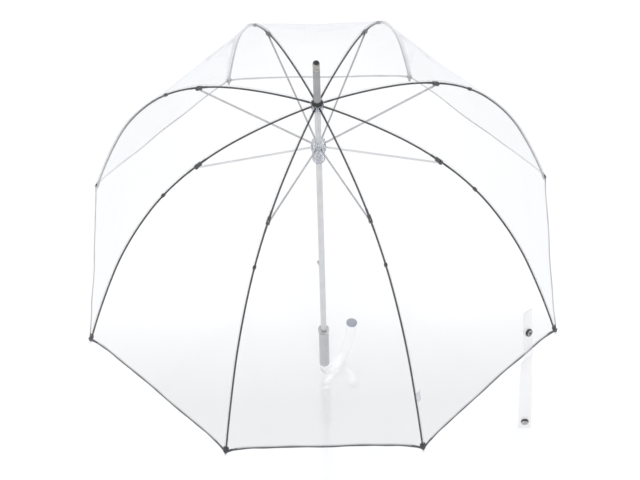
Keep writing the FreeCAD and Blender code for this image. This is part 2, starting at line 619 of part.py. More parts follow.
def strap_tail():
    """Free band hanging from the hem, facing -Y, with the snap's socket half near its end."""
    tail_x = "(D.strap_x + D.tail_out * cos(D.gore_angle))"
    tail_y = "(D.strap_y + D.tail_out * sin(D.gore_angle))"
    tail_low = "D.hem_z - 6 - D.strap_tail_long"
    band = box(("D.strap_wide", "D.strap_thick", "D.strap_tail_long"),
               (f"{tail_x} - D.strap_wide / 2", tail_y, tail_low), hint="tail_band")
    node(band, "strap_tail")
    socket_z = f"{tail_low} + D.socket_up"
    disc = cylinder("D.snap_radius", "D.snap_thick", (tail_x, tail_y, socket_z), about(X, 90),
                    "socket_disc")
    dome = cylinder("D.snap_radius - 1.6", "D.snap_head", (tail_x, f"{tail_y} - D.snap_thick", socket_z),
                    about(X, 90), "socket_dome")
    node(fuse([disc, dome], "socket"), "strap_socket")


strap_base()
strap_tail()


# ---------------------------------------------------------------- check and export

doc.recompute()
for obj in doc.Objects:
    if any(state in ("Invalid", "Error") for state in obj.State):
        raise RuntimeError(f"{obj.Name} didn't recompute: {obj.State}")
for obj in nodes:
    shape = obj.Shape
    if shape.isNull() or not shape.isValid() or not shape.Solids:
        raise RuntimeError(f"{obj.Label} is not a valid solid")
    shape.exportStep(f"parts/{obj.Label}.step")
print(len(nodes), "parts")
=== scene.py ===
import json
import math
import bmesh
import bpy
import numpy as np
from mathutils import Matrix, Vector


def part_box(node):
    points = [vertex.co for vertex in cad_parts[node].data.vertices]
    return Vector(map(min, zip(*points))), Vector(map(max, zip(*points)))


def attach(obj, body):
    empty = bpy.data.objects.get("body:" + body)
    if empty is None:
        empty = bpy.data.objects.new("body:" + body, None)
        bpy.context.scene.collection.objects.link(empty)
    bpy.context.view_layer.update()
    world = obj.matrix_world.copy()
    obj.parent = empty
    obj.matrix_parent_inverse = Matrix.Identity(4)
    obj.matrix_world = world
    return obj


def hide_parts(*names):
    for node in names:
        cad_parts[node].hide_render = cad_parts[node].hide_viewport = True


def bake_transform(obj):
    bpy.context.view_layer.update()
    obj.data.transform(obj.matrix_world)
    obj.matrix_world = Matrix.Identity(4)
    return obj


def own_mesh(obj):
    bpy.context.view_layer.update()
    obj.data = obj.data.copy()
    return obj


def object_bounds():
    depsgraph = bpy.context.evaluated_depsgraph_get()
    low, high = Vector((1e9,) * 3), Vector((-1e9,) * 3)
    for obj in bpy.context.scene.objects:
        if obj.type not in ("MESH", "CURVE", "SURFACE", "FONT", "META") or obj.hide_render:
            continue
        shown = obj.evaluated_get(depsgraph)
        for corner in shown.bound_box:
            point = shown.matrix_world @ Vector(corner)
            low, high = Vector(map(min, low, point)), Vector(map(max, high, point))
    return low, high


# Clear dome umbrella, open, standing on its crook: film, bindings, strap, snaps, crook and finishes
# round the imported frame. Metres, +Z up, the row frame.

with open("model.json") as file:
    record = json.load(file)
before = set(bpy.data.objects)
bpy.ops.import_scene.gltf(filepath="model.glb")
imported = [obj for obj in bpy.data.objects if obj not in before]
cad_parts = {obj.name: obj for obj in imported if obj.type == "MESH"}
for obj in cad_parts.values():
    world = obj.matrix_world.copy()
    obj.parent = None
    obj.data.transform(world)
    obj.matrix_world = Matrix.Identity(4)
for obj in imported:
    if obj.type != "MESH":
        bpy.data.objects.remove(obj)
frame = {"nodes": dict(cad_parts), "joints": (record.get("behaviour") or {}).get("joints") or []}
cad_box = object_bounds()
scene = bpy.context.scene
NODES = frame["nodes"]
JOINTS = {joint["name"]: joint for joint in frame["joints"]}
UP = Vector((0, 0, 1))
FRONT_SIDE = Vector((1, 0, 0))  # sideways for a band that faces the front
mm = 0.001


# ---------------------------------------------------------------- node material helpers

class Shader:
    """A node material under construction. add() makes a node; a value may be another node's socket."""

    def __init__(self, name):
        self.material = bpy.data.materials.new(name)
        self.material.use_nodes = True
        self.tree = self.material.node_tree
        self.tree.nodes.clear()
        self.output = self.add("ShaderNodeOutputMaterial")
        self.place = self.add("ShaderNodeTexCoord").outputs["Object"]

    def add(self, kind, values=None, **settings):
        node = self.tree.nodes.new(kind)
        for key, value in settings.items():
            setattr(node, key, value)
        for key, value in (values or {}).items():
            if isinstance(value, bpy.types.NodeSocket):
                self.tree.links.new(value, node.inputs[key])
            else:
                node.inputs[key].default_value = value
        return node

    def surface(self, kind, values):
        """The surface of a shading node; kind is the last part of the node's name."""
        return self.add("ShaderNodeBsdf" + kind, values).outputs[0]

    def math(self, operation, first, second=0.0, clamp=False):
        values = {0: first, 1: second}
        return self.add("ShaderNodeMath", values, operation=operation, use_clamp=clamp).outputs[0]

    def parts(self, vector):
        """The x, y and z of a vector."""
        return self.add("ShaderNodeSeparateXYZ", {0: vector}).outputs

    def stretched(self, scale):
        return self.add("ShaderNodeMapping", {"Vector": self.place, "Scale": scale}).outputs[0]

    def noise(self, scale, detail=4.0, vector=None, roughness=0.5):
        values = {"Vector": vector or self.place, "Scale": scale, "Detail": detail, "Roughness": roughness}
        return self.add("ShaderNodeTexNoise", values).outputs["Fac"]

    def spread(self, factor, low, high, start=0.3, end=0.7):
        """factor from start..end to low..high."""
        values = {"Value": factor, "From Min": start, "From Max": end, "To Min": low, "To Max": high}
        return self.add("ShaderNodeMapRange", values).outputs[0]

    def blend_colour(self, factor, low, high):
        node = self.add("ShaderNodeMix", {"Factor": factor}, data_type="RGBA")
        for socket, value in ((node.inputs[6], low), (node.inputs[7], high)):
            if isinstance(value, bpy.types.NodeSocket):
                self.tree.links.new(value, socket)
            else:
                socket.default_value = (*value, 1)
        return node.outputs[2]

    def bump(self, height, strength, distance):
        values = {"Height": height, "Strength": strength, "Distance": distance}
        return self.add("ShaderNodeBump", values).outputs[0]

    def mix(self, factor, first, second):
        return self.add("ShaderNodeMixShader", {0: factor, 1: first, 2: second}).outputs[0]

    def facing(self):
        """0 where the surface faces the eye, 1 where it is seen edge on."""
        return self.add("ShaderNodeLayerWeight", {"Blend": 0.5}).outputs["Facing"]

    def is_shadow(self):
        """1 for a ray on its way to a lamp."""
        return self.add("ShaderNodeLightPath").outputs["Is Shadow Ray"]

    def finish(self, surface):
        self.tree.links.new(surface, self.output.inputs["Surface"])
        return self.material


def metal(name, dark, light, rough, grain=(900, 900, 12), metallic=1.0, bump=0.15):
    """Drawn or painted metal: fine streaks, stretched the way grain says, and faint blotches."""
    s = Shader(name)
    streaks = s.noise(1.0, 3, s.stretched(grain))
    blotches = s.noise(60, 4)
    tone = s.math("ADD", s.math("MULTIPLY", streaks, 0.6), s.math("MULTIPLY", blotches, 0.4))
    colour = s.blend_colour(s.spread(tone, 0, 1, 0.35, 0.65), dark, light)
    roughness = s.spread(streaks, rough * 0.8, rough * 1.25)
    normal = s.bump(streaks, bump, 0.0002)
    values = {"Base Color": colour, "Metallic": metallic, "Roughness": roughness, "Normal": normal}
    return s.finish(s.surface("Principled", values))


def painted_pale_metal(name, dark, light, pale, high, low):
    """Painted wire with a painted highlight that makes it paler from the height high down to the height low,
    standing in for the light that the far ribs catch.
    """
    s = Shader(name)
    blotches = s.noise(60, 4)
    height = s.parts(s.place)[2]
    paint = s.blend_colour(s.spread(blotches, 0, 1, 0.35, 0.65), dark, light)
    # painted highlight: below the height high the paint pales by height alone
    colour = s.blend_colour(s.spread(height, 1, 0, low, high), paint, pale)
    values = {"Base Color": colour, "Metallic": 0.15, "Roughness": s.spread(blotches, 0.35, 0.5)}
    return s.finish(s.surface("Principled", values))


def plastic(name, dark, light, rough, grain=400, bump=0.2, coat=0.0):
    """Moulded opaque plastic: fine grain, faint mottling."""
    s = Shader(name)
    grain_noise = s.noise(grain, 5)
    colour = s.blend_colour(s.spread(s.noise(90, 3), 0, 1), dark, light)
    values = {"Base Color": colour, "Roughness": s.spread(grain_noise, rough * 0.8, rough * 1.3),
              "Normal": s.bump(grain_noise, bump, 0.0001), "Coat Weight": coat}
    return s.finish(s.surface("Principled", values))


ACRYLIC_BENDS = 1.49            # how strongly clear acrylic bends light
TRAPPED_DEPTH = 4.0             # light that has bounced more often than this counts as trapped inside


def clear_solid(name, tint, rough, flow=70, bump=0.25, milk=0.0, milk_colour=(0.6, 0.62, 0.64)):
    """Thick clear moulded plastic that bends what is seen through it. Lamps shine through it."""
    s = Shader(name)
    normal = s.bump(s.noise(flow, 3), bump, 0.0006)
    values = {"Color": (*tint, 1), "Roughness": rough, "IOR": ACRYLIC_BENDS, "Normal": normal}
    glass = s.surface("Glass", values)
    if milk:
        cloud = s.spread(s.noise(220, 4), milk * 0.6, milk * 1.4)
        body = s.surface("Principled", {"Base Color": (*milk_colour, 1), "Roughness": 0.25})
        glass = s.mix(cloud, glass, body)
    # painted glow: past TRAPPED_DEPTH bounces the plastic gives off an even emitted brightness in place of
    # the light trapped inside
    depth = s.add("ShaderNodeLightPath").outputs["Ray Depth"]
    painted_glow = s.add("ShaderNodeEmission", {"Color": (0.93, 0.94, 0.96, 1), "Strength": 0.8}).outputs[0]
    glass = s.mix(s.math("GREATER_THAN", depth, TRAPPED_DEPTH), glass, painted_glow)
    window = s.surface("Transparent", {"Color": (0.9, 0.9, 0.91, 1)})
    return s.finish(s.mix(s.is_shadow(), glass, window))


# painted shade: the canopy film is darkened along a slanting direction in the plane of y and z, towards the
# lower front, standing in for the darker floor seen through it
PAINTED_SHADE_BACK, PAINTED_SHADE_UP = 0.806, 0.592           # the direction's shares of y and z
PAINTED_SHADE_STARTS, PAINTED_SHADE_FULL = 0.118, -0.02       # metres along it


def clear_sheet(name, least, edge, power, haze, haze_colour, shade, wave=26, fine=190, gloss=0.045,
                bump=0.25, painted_shade=0.0):
    """Thin clear film: nearly invisible face on, greyer edge on, with soft ripples, haze and gloss.
    least is how much light it stops face on and edge how much more edge on, rising with power. haze is
    the share that looks like haze_colour, and shade what a lamp's ray keeps. wave and fine are how many
    ripples a metre holds, gloss is the share it mirrors face on and painted_shade the strength of a painted
    shade at the lower front, which stands in for the darker floor seen through the film."""
    s = Shader(name)
    facing = s.facing()
    steep = s.math("POWER", facing, power)
    cloud = s.spread(s.noise(7, 5, roughness=0.6), 0.6, 1.4)
    stopped = s.math("MULTIPLY", s.math("ADD", s.math("MULTIPLY", steep, edge), least), cloud, clamp=True)
    tint = s.blend_colour(stopped, (1, 1, 1), (0.30, 0.31, 0.34))
    place = s.parts(s.place)
    # painted shade: the film darkens by place towards the lower front, in place of the darker floor seen
    # through it
    level = s.math("ADD", s.math("MULTIPLY", place[1], PAINTED_SHADE_BACK), s.math("MULTIPLY", place[2], PAINTED_SHADE_UP))
    lower = s.math("POWER", s.spread(level, 0, 1, PAINTED_SHADE_STARTS, PAINTED_SHADE_FULL), 0.7)
    tint = s.blend_colour(s.math("MULTIPLY", lower, painted_shade), tint, (0.0, 0.0, 0.0))
    window = s.surface("Transparent", {"Color": tint})
    ripple = s.math("ADD", s.noise(wave, 3), s.math("MULTIPLY", s.noise(fine, 4), 0.12))
    normal = s.bump(ripple, bump, 0.003)
    shine = s.surface("Glossy", {"Color": (0.95, 0.955, 0.97, 1), "Roughness": 0.05, "Normal": normal})
    mirror = s.math("ADD", s.math("MULTIPLY", s.math("POWER", facing, 4.0), 0.8), gloss)
    sheet = s.mix(mirror, window, shine)
    body = s.surface("Principled", {"Base Color": (*haze_colour, 1), "Roughness": 0.35})
    sheet = s.mix(s.math("MULTIPLY", cloud, haze), sheet, body)
    passed = s.surface("Transparent", {"Color": (shade, shade, shade * 1.005, 1)})
    return s.finish(s.mix(s.is_shadow(), sheet, passed))


def tape(name, dark, light, inner=None, weave=1500):
    """Woven binding tape: slanting threads, lint and one paler edge. inner is painted light: a paler colour
    on its back, standing in for light shining through the tape from behind.
    """
    s = Shader(name)
    weaving = s.add("ShaderNodeTexWave", {"Vector": s.place, "Scale": weave}, bands_direction="DIAGONAL")
    threads = s.math("MULTIPLY", weaving.outputs["Fac"], s.noise(700, 4))
    across = s.parts(s.add("ShaderNodeTexCoord").outputs["UV"])[1]
    tone = s.math("ADD", s.math("MULTIPLY", threads, 0.5), s.math("MULTIPLY", across, 0.7), clamp=True)
    colour = s.blend_colour(tone, dark, light)
    if inner:
        # painted light: the half facing the shaft takes a paler colour in place of light shining through from
        # behind
        back = s.add("ShaderNodeAttribute", attribute_name="inside").outputs["Fac"]
        colour = s.blend_colour(back, colour, s.blend_colour(threads, inner, (0.8, 0.8, 0.8)))
    normal = s.bump(threads, 0.5, 0.0003)
    values = {"Base Color": colour, "Roughness": 0.62, "Sheen Weight": 0.2, "Normal": normal}
    return s.finish(s.surface("Principled", values))


RIB_DARK, RIB_LIGHT = (0.006, 0.0065, 0.0075), (0.020, 0.021, 0.024)
TAPE_DARK, TAPE_LIGHT = (0.012, 0.014, 0.019), (0.10, 0.107, 0.125)
PAINTED_PALE_HIGH, PAINTED_PALE_LOW = 0.69, 0.655           # heights between which the far ribs' painted highlight comes in

silver = metal("silver_shaft", (0.56, 0.565, 0.58), (0.70, 0.705, 0.715), 0.5, metallic=0.35)
ferrule_silver = metal("grey_ferrule", (0.29, 0.295, 0.305), (0.42, 0.425, 0.435), 0.45, metallic=0.35)
rib_paint = metal("dark_rib_wire", RIB_DARK, RIB_LIGHT, 0.45, metallic=0.15)
far_rib_paint = painted_pale_metal("painted_pale_far_rib_wire", RIB_DARK, RIB_LIGHT, (0.46, 0.465, 0.48),
                            PAINTED_PALE_HIGH, PAINTED_PALE_LOW)
dark_metal = metal("black_bracket", (0.012, 0.012, 0.014), (0.04, 0.04, 0.045), 0.35, metallic=0.5)
# painted light and shade: the stretchers are one steel, given here as a shaded, a middle and a lit copy by
# where each stretcher stands
shaded_stretcher_metal = metal("painted_shaded_stretcher", (0.32, 0.325, 0.335), (0.48, 0.485, 0.495), 0.4)
satin_stretcher = metal("satin_stretcher", (0.42, 0.425, 0.435), (0.58, 0.585, 0.595), 0.38)
painted_lit_stretcher = metal("painted_lit_stretcher", (0.60, 0.605, 0.615), (0.78, 0.785, 0.79), 0.35)
bright = metal("bright_collar", (0.22, 0.225, 0.235), (0.75, 0.755, 0.765), 0.2, grain=(250, 250, 60),
               bump=0.05)
spring_steel = metal("spring_steel", (0.38, 0.37, 0.36), (0.55, 0.54, 0.53), 0.3)
gunmetal = metal("gunmetal_snap", (0.03, 0.031, 0.033), (0.16, 0.16, 0.165), 0.28, grain=(300, 300, 300))
# painted highlight: the silver ring on the snaps' faces
snap_highlight_metal = metal("snap_painted_highlight", (0.30, 0.30, 0.29), (0.62, 0.62, 0.61), 0.25, grain=(300, 300, 300))
black_plastic = plastic("black_plastic", (0.006, 0.006, 0.007), (0.022, 0.022, 0.024), 0.4)
pale_plug = plastic("pale_foot_plug", (0.78, 0.785, 0.80), (0.88, 0.885, 0.89), 0.4)
slate_plastic = plastic("slate_end_cap", (0.27, 0.29, 0.34), (0.34, 0.365, 0.415), 0.3, coat=0.3)
ferrule_plastic = clear_solid("smoky_ferrule_plastic", (0.75, 0.74, 0.70), 0.12, milk=0.55,
                              milk_colour=(0.50, 0.49, 0.46))
runner_plastic = clear_solid("clear_runner_plastic", (0.90, 0.91, 0.93), 0.05, milk=0.16)
tip_plastic = clear_solid("clear_tip_plastic", (0.93, 0.94, 0.95), 0.04, milk=0.12)
acrylic = clear_solid("clear_acrylic", (0.995, 0.997, 1.0), 0.0, flow=30, bump=0.04)
# the canopy film carries painted shade of strength 0.15 at the lower front
film_clear = clear_sheet("clear_film", 0.004, 0.12, 4.0, 0.005, (0.88, 0.89, 0.92), 0.95, painted_shade=0.15)
seam_film = clear_sheet("welded_seam", 0.10, 0.45, 2.5, 0.01, (0.90, 0.91, 0.93), 0.92, fine=900, gloss=0.02,
                        bump=0.5)
strap_film = clear_sheet("milky_strap_vinyl", 0.035, 0.20, 2.5, 0.11, (0.82, 0.82, 0.84), 0.90, wave=60)
label_film = clear_sheet("blank_label", 0.16, 0.3, 2.0, 0.5, (0.66, 0.67, 0.70), 0.7, fine=900)
# the hem tape's paler back colour is painted light
hem_tape = tape("slate_hem_tape", TAPE_DARK, TAPE_LIGHT, inner=(0.50, 0.51, 0.52))
# painted light: the far pockets' tape is paler, standing in for light shining through it from behind
far_pocket_tape = tape("painted_pale_corner_tape", (0.30, 0.31, 0.33), (0.55, 0.56, 0.58))
pocket_tape = tape("slate_corner_tape", TAPE_DARK, TAPE_LIGHT)
thread = tape("black_tie_thread", (0.012, 0.012, 0.014), (0.05, 0.05, 0.055), weave=3000)


# ---------------------------------------------------------------- mesh helpers

def mesh_piece(name, points, faces, material, body, solid=True):
    """A smooth mesh piece that rides on a body. Solid pieces get their faces turned outward."""
    mesh = bpy.data.meshes.new(name)
    mesh.from_pydata([tuple(p) for p in points], [], faces)
    if solid:
        builder = bmesh.new()
        builder.from_mesh(mesh)
        bmesh.ops.recalc_face_normals(builder, faces=builder.faces)
        builder.to_mesh(mesh)
        builder.free()
    mesh.polygons.foreach_set("use_smooth", [True] * len(mesh.polygons))
    mesh.materials.append(material)
    piece = bpy.data.objects.new(name, mesh)
    scene.collection.objects.link(piece)
    if body:
        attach(piece, body)
    return piece


def grid_faces(rows, columns, wrap=False):
    """Four-sided faces between neighbouring points of a grid; wrap joins each row's end to its start."""
    across = columns if wrap else columns - 1
    return [(i * columns + j, i * columns + (j + 1) % columns,
             (i + 1) * columns + (j + 1) % columns, (i + 1) * columns + j)
            for i in range(rows - 1) for j in range(across)]


def skinned(rings):
    """Points and faces of a closed solid through a row of rings with equal numbers of points."""
    count = len(rings[0])
    faces = grid_faces(len(rings), count, wrap=True)
    faces.append(tuple(range(count - 1, -1, -1)))
    faces.append(tuple(range((len(rings) - 1) * count, len(rings) * count)))
    return [p for ring in rings for p in ring], faces


def tangent_at(path, k):
    return (path[min(k + 1, len(path) - 1)] - path[max(k - 1, 0)]).normalized()


def square_to(direction, tangent):
    """The part of a direction that is square to a tangent, one unit long."""
    return (direction - tangent * direction.dot(tangent)).normalized()


def circle_angles(count):
    return [2 * math.pi * n / count for n in range(count)]


def boxier(value, power):
    """A sine or cosine pushed towards -1 or 1, which turns an ellipse into a rounded rectangle."""
    return math.copysign(abs(value) ** power, value)


def round_tube(path, radius, side, sides):
    """Rings of a tube along path, carried along it without twist from a starting side."""
    rings = []
    for k, point in enumerate(path):
        tangent = tangent_at(path, k)
        side = square_to(side, tangent)
        other = tangent.cross(side)
        rings.append([point + (side * math.cos(t) + other * math.sin(t)) * radius
                      for t in circle_angles(sides)])
    return rings


def lathed(profile, centre, axis, sides=48, lobes=0, lobe_depth=0.0):
    """Closed solid turned about axis. profile is (radius, height), from the axis at the bottom round to
    the axis on top; lobes make the outline wavy."""
    axis = axis.normalized()
    side = axis.orthogonal().normalized()
    other = axis.cross(side)
    points, faces = [centre + axis * profile[0][1]], []
    for radius, height in profile[1:-1]:
        for t in circle_angles(sides):
            r = radius * (1 + lobe_depth * math.cos(lobes * t))
            points.append(centre + axis * height + (side * math.cos(t) + other * math.sin(t)) * r)
    points.append(centre + axis * profile[-1][1])
    rings = len(profile) - 2
    for j in range(sides):
        following = (j + 1) % sides
        faces.append((0, 1 + following, 1 + j))
        for i in range(rings - 1):
            low, high = 1 + i * sides, 1 + (i + 1) * sides
            faces.append((low + j, low + following, high + following, high + j))
        top = 1 + (rings - 1) * sides
        faces.append((top + j, top + following, len(points) - 1))
    return points, faces


# ---------------------------------------------------------------- the ribs' curve

RIB_COUNT = 8
STEP = 2 * math.pi / RIB_COUNT
FIRST = STEP / 2
# from a point on a rib to the middle of the gore: radial and sideways share of the point's radius
HALF_CHORD = (-(1 - math.cos(STEP)) / 2, math.sin(STEP) / 2)
HALF_CHORD_LONG = math.hypot(*HALF_CHORD)
SIDES = ((-1, "a"), (1, "b"))   # the two wings of film beside a rib


def flat(joint):
    """A joint's place in the rib plane: distance from the shaft axis, and height."""
    x, y, z = JOINTS[joint]["pos_m"]
    return math.hypot(x, y), z


CROWN, BRACKET = flat("rib_1_fold"), flat("rib_1_flex")
START_SLOPE = math.radians(2.17)
# the rib is five tangent arcs, each a length and a turn: two inside the bracket and three outside it
INNER_ARCS = [(128.3 * mm, math.radians(12.85)), (82.8 * mm, math.radians(14.83))]
BEND_ARC = (117.6 * mm, math.radians(23.68))
MIDDLE_ARC = (142.9 * mm, math.radians(15.53))
LOWER_ARC = (170.7 * mm, math.radians(5.73))
FILM_OUT = 3.1 * mm             # the film lies this far outside the middle of the rib wire
RIB_LONG = sum(arc[0] for arc in INNER_ARCS + [BEND_ARC, MIDDLE_ARC, LOWER_ARC])
BRACKET_ALONG = sum(arc[0] for arc in INNER_ARCS)


def trace(start, arcs, spacing=7 * mm):
    """Points (r, z, slope, length so far) along tangent arcs from start, which has the same four numbers."""
    samples = [start]
    for length, turn in arcs:
        r, z, slope, before = samples[-1]
        radius = length / turn
        steps = max(3, round(length / spacing))
        for k in range(1, steps + 1):
            a = slope + turn * k / steps
            samples.append((r + radius * (math.sin(a) - math.sin(slope)),
                            z + radius * (math.cos(a) - math.cos(slope)), a, before + length * k / steps))
    return samples


def half(arc):
    return arc[0] / 2, arc[1] / 2


def moved_up(sample, lift):
    """A rib sample moved up along its own slope."""
    r, z, slope, length = sample
    return r - lift * math.cos(slope), z + lift * math.sin(slope), slope, length - lift


def rib_directions(number):
    """Outward and sideways directions of a rib."""
    angle = FIRST + STEP * (number - 1)
    return Vector((math.cos(angle), math.sin(angle), 0)), Vector((-math.sin(angle), math.cos(angle), 0))


def slope_directions(number, slope):
    """Directions down along a sloping rib and square out of it."""
    outward = rib_directions(number)[0]
    return outward * math.cos(slope) - UP * math.sin(slope), outward * math.sin(slope) + UP * math.cos(slope)


def in_space(number, r, z):
    return rib_directions(number)[0] * r + UP * z


inner_line = trace((*CROWN, START_SLOPE, 0.0), INNER_ARCS)
outer_strips = []
for arc in (half(BEND_ARC), half(BEND_ARC), MIDDLE_ARC, LOWER_ARC):
    beginning = outer_strips[-1][-1] if outer_strips else inner_line[-1]
    outer_strips.append(trace(beginning, [arc]))
outer_line = [sample for strip in outer_strips for sample in strip]
TIP = outer_line[-1]


# ---------------------------------------------------------------- canopy film

GORE_COLUMNS = 14
COLUMN_CROWDING = 1.35          # above 1 the columns of points crowd towards the rib
SAG = 2.5 * mm
BULGE, BULGE_LONG = 1.8 * mm, 24 * mm       # the film's rise over a rib bracket, half its length
RIPPLE = 0.7 * mm
HEM_RISE = 10.5 * mm            # the hem climbs this far from the rib's end to the middle of the gore
HEM_SPREAD = 17 * mm


def hem_rise(share):
    """How far above the rib's end the hem lies, a share of the way from the rib to the gore's middle."""
    across = share * TIP[0] * HALF_CHORD_LONG
    return HEM_RISE * (1 - math.exp(-across / HEM_SPREAD))


def film_point(number, side, sample, share):
    """A point of the film: share 0 is at the rib, 1 halfway to the next rib on that side."""
    r, z, slope, length = sample
    outward, sideways = rib_directions(number)
    beside = math.exp(-((length - BRACKET_ALONG) / BULGE_LONG) ** 2) * (1 - share) ** 3
    out = FILM_OUT + BULGE * beside
    at_rib = outward * (r + out * math.sin(slope)) + UP * (z + out * math.cos(slope))
    radius = r + out * math.sin(slope)
    chord = outward * HALF_CHORD[0] * radius + sideways * side * HALF_CHORD[1] * radius
    gore = number if side > 0 else (number - 2) % RIB_COUNT + 1
    middle = FIRST + STEP * (gore - 0.5)
    normal = Vector((math.cos(middle) * math.sin(slope), math.sin(middle) * math.sin(slope), math.cos(slope)))
    x = side * (share - 1)          # -1 at the gore's first rib, 0 in its middle, 1 at its second rib
    down = length / RIB_LONG
    dip = -SAG * math.sin(math.pi * min(down, 1)) * (1 - x * x)
    # three crossing sets of ripples, each finer than the last and shifted from gore to gore
    phase = 2.1 * gore
    wave = (math.sin(15 * down + 4 * x + phase) + 0.7 * math.sin(34 * down - 9 * x + 2 * phase)
            + 0.5 * math.sin(61 * down + 13 * x * x + 3 * phase))
    return at_rib + chord * share + normal * (dip + RIPPLE * wave * (1 - x * x) * min(1, down * 6))


def wing_points(number, side, samples, to_hem=False):
    """Rows of film points from the rib to the middle of the gore. With to_hem the last row follows the
    hem's curve."""
    rows = []
    first, last = samples[0][3], samples[-1][3]
    for sample in samples:
        row = []
        for j in range(GORE_COLUMNS + 1):
            share = (j / GORE_COLUMNS) ** COLUMN_CROWDING
            used = sample
            if to_hem:
                used = moved_up(sample, hem_rise(share) * (sample[3] - first) / (last - first))
            row.append(film_point(number, side, used, share))
        rows.append(row)
    return rows


# share of the gore's inward chord listed for each strip's fold depth, shallow by the brackets; nothing draws
# a fold from it
FOLD_DEPTHS = (0.08, 0.24, 0.35, 0.35)


def sheet_piece(name, rows, material, body, flip):
    """An open sheet through rows of points; flip turns its faces over."""
    faces = grid_faces(len(rows), len(rows[0]))
    if flip:
        faces = [face[::-1] for face in faces]
    return mesh_piece(name, [p for row in rows for p in row], faces, material, body, solid=False)


def inner_film(number):
    """Film over the inner rib, from the middle of one gore to the middle of the next, in one sheet."""
    left, right = (wing_points(number, side, inner_line) for side in (-1, 1))
    rows = [a[::-1] + b[1:] for a, b in zip(left, right)]
    piece = sheet_piece(f"film_{number}_top", rows, film_clear, f"rib_{number}_in", True)
    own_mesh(piece)
    return piece


def outer_film(number, side, word):
    """Film beside the outer rib: a strip for each stretch of the rib."""
    body, joint = f"rib_{number}_out", f"rib_{number}_flex"
    for level, (strip, depth) in enumerate(zip(outer_strips, FOLD_DEPTHS), 1):
        rows = wing_points(number, side, strip, to_hem=strip is outer_strips[-1])
        piece = sheet_piece(f"film_{number}{word}_{level}", rows, film_clear, body, side > 0)
        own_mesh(piece)


for rib in range(1, RIB_COUNT + 1):
    top = inner_film(rib)
    for side, word in SIDES:
        outer_film(rib, side, word)
    if rib == 1:
        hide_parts("canopy")


# ---------------------------------------------------------------- hem tape, seams, ties, pockets, label

TAPE_TALL, TAPE_THICK = 6.0 * mm, 1.5 * mm
TAPE_DROP = 1.2 * mm            # the tape starts this far below the film's edge
TAPE_STATIONS, TAPE_SIDES = 30, 12


def hem_tape_piece(number, side, word):
    """Folded binding tape along one wing's hem: a flattened, slightly puckered tube."""
    strip = outer_strips[-1]
    path, upwards = [], []
    for k in range(TAPE_STATIONS + 1):
        share = (k / TAPE_STATIONS) ** 1.5
        low, high = (film_point(number, side, moved_up(strip[-1], hem_rise(share) + step - TAPE_DROP), share)
                     for step in (0.0, 4 * mm))
        path.append(low)
        upwards.append((high - low).normalized())
    rings = []
    for k, point in enumerate(path):
        tangent = tangent_at(path, k)
        upward = square_to(upwards[k], tangent)
        out = tangent.cross(upward)
        pucker = 1 + 0.10 * math.sin(0.9 * k + number)
        ring = []
        for t in circle_angles(TAPE_SIDES):
            rise = boxier(math.cos(t), 0.7) * TAPE_TALL / 2 * pucker + TAPE_TALL / 2
            ring.append(point + upward * rise + out * math.sin(t) * TAPE_THICK / 2)
        rings.append(ring)
    points, faces = skinned(rings)
    name, body = f"hem_tape_{number}{word}", f"rib_{number}_out"
    piece = mesh_piece(name, points, faces, hem_tape, body)
    lay_tape_texture(piece, path, rib_directions(number)[0])
    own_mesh(piece)


def lay_tape_texture(piece, path, outward):
    """Texture place across the tape, and a mark on the half that faces the shaft, which takes the tape's
    painted backlight.
    """
    layer = piece.data.uv_layers.new(name="across")
    for loop in piece.data.loops:
        k, n = divmod(loop.vertex_index, TAPE_SIDES)
        layer.data[loop.index].uv = (k / 3, 0.5 - 0.5 * math.cos(2 * math.pi * n / TAPE_SIDES))
    inside = piece.data.attributes.new("inside", "FLOAT", "POINT")
    for vertex in piece.data.vertices:
        centre = path[vertex.index // TAPE_SIDES]
        inside.data[vertex.index].value = 1.0 if (vertex.co - centre).dot(outward) < -0.2 * mm else 0.0


SEAM_HALF_WIDE = 3.4 * mm
SEAM_COLUMNS = (-1, -0.86, -0.45, 0, 0.45, 0.86, 1)


def seam_piece(number, samples, word, body):
    """Welded overlap of two gores along a rib: a narrow second layer outside the film, raised along its
    middle."""
    rows = []
    for sample in samples:
        r, slope = sample[0], sample[2]
        above = slope_directions(number, slope)[1]
        row = []
        for across in SEAM_COLUMNS:
            side = 1 if across >= 0 else -1
            share = abs(across) * SEAM_HALF_WIDE / (max(r, 8 * mm) * HALF_CHORD_LONG)
            point = film_point(number, side, sample, min(share, 1))
            row.append(point + above * (0.35 + 0.12 * math.cos(across * 9)) * mm)
        rows.append(row)
    sheet_piece(f"seam_{number}_{word}", rows, seam_film, body, True)


TIE_ALONG = BRACKET_ALONG + 70 * mm
TIE_TURNS, TIE_STEPS = 4, 16
TIE_LONG = 5.2 * mm
TIE_REACH, TIE_SLACK = 2.1 * mm, 0.45 * mm  # the turns' radius round the wire, and more of it by the film
THREAD_RADIUS = 0.65 * mm


def tie_piece(number):
    """Thread that ties the film's seam to the rib wire: four turns and a hanging end."""
    r, z, slope = min(outer_line, key=lambda sample: abs(sample[3] - TIE_ALONG))[:3]
    sideways = rib_directions(number)[1]
    down, above = slope_directions(number, slope)
    steps = TIE_TURNS * TIE_STEPS
    path = []
    for k in range(steps + 1):
        t = 2 * math.pi * k / TIE_STEPS
        reach = TIE_REACH + TIE_SLACK * (1 + math.cos(t)) / 2
        path.append(in_space(number, r, z) + down * (k / steps - 0.5) * TIE_LONG
                    + (above * math.cos(t) + sideways * math.sin(t)) * reach)
    for k in range(1, 7):
        path.append(path[-1] - above * 0.9 * mm + sideways * 0.35 * mm * math.sin(k) + down * 0.5 * mm)
    points, faces = skinned(round_tube(path, THREAD_RADIUS, down, sides=8))
    mesh_piece(f"rib_tie_{number}", points, faces, thread, f"rib_{number}_out")


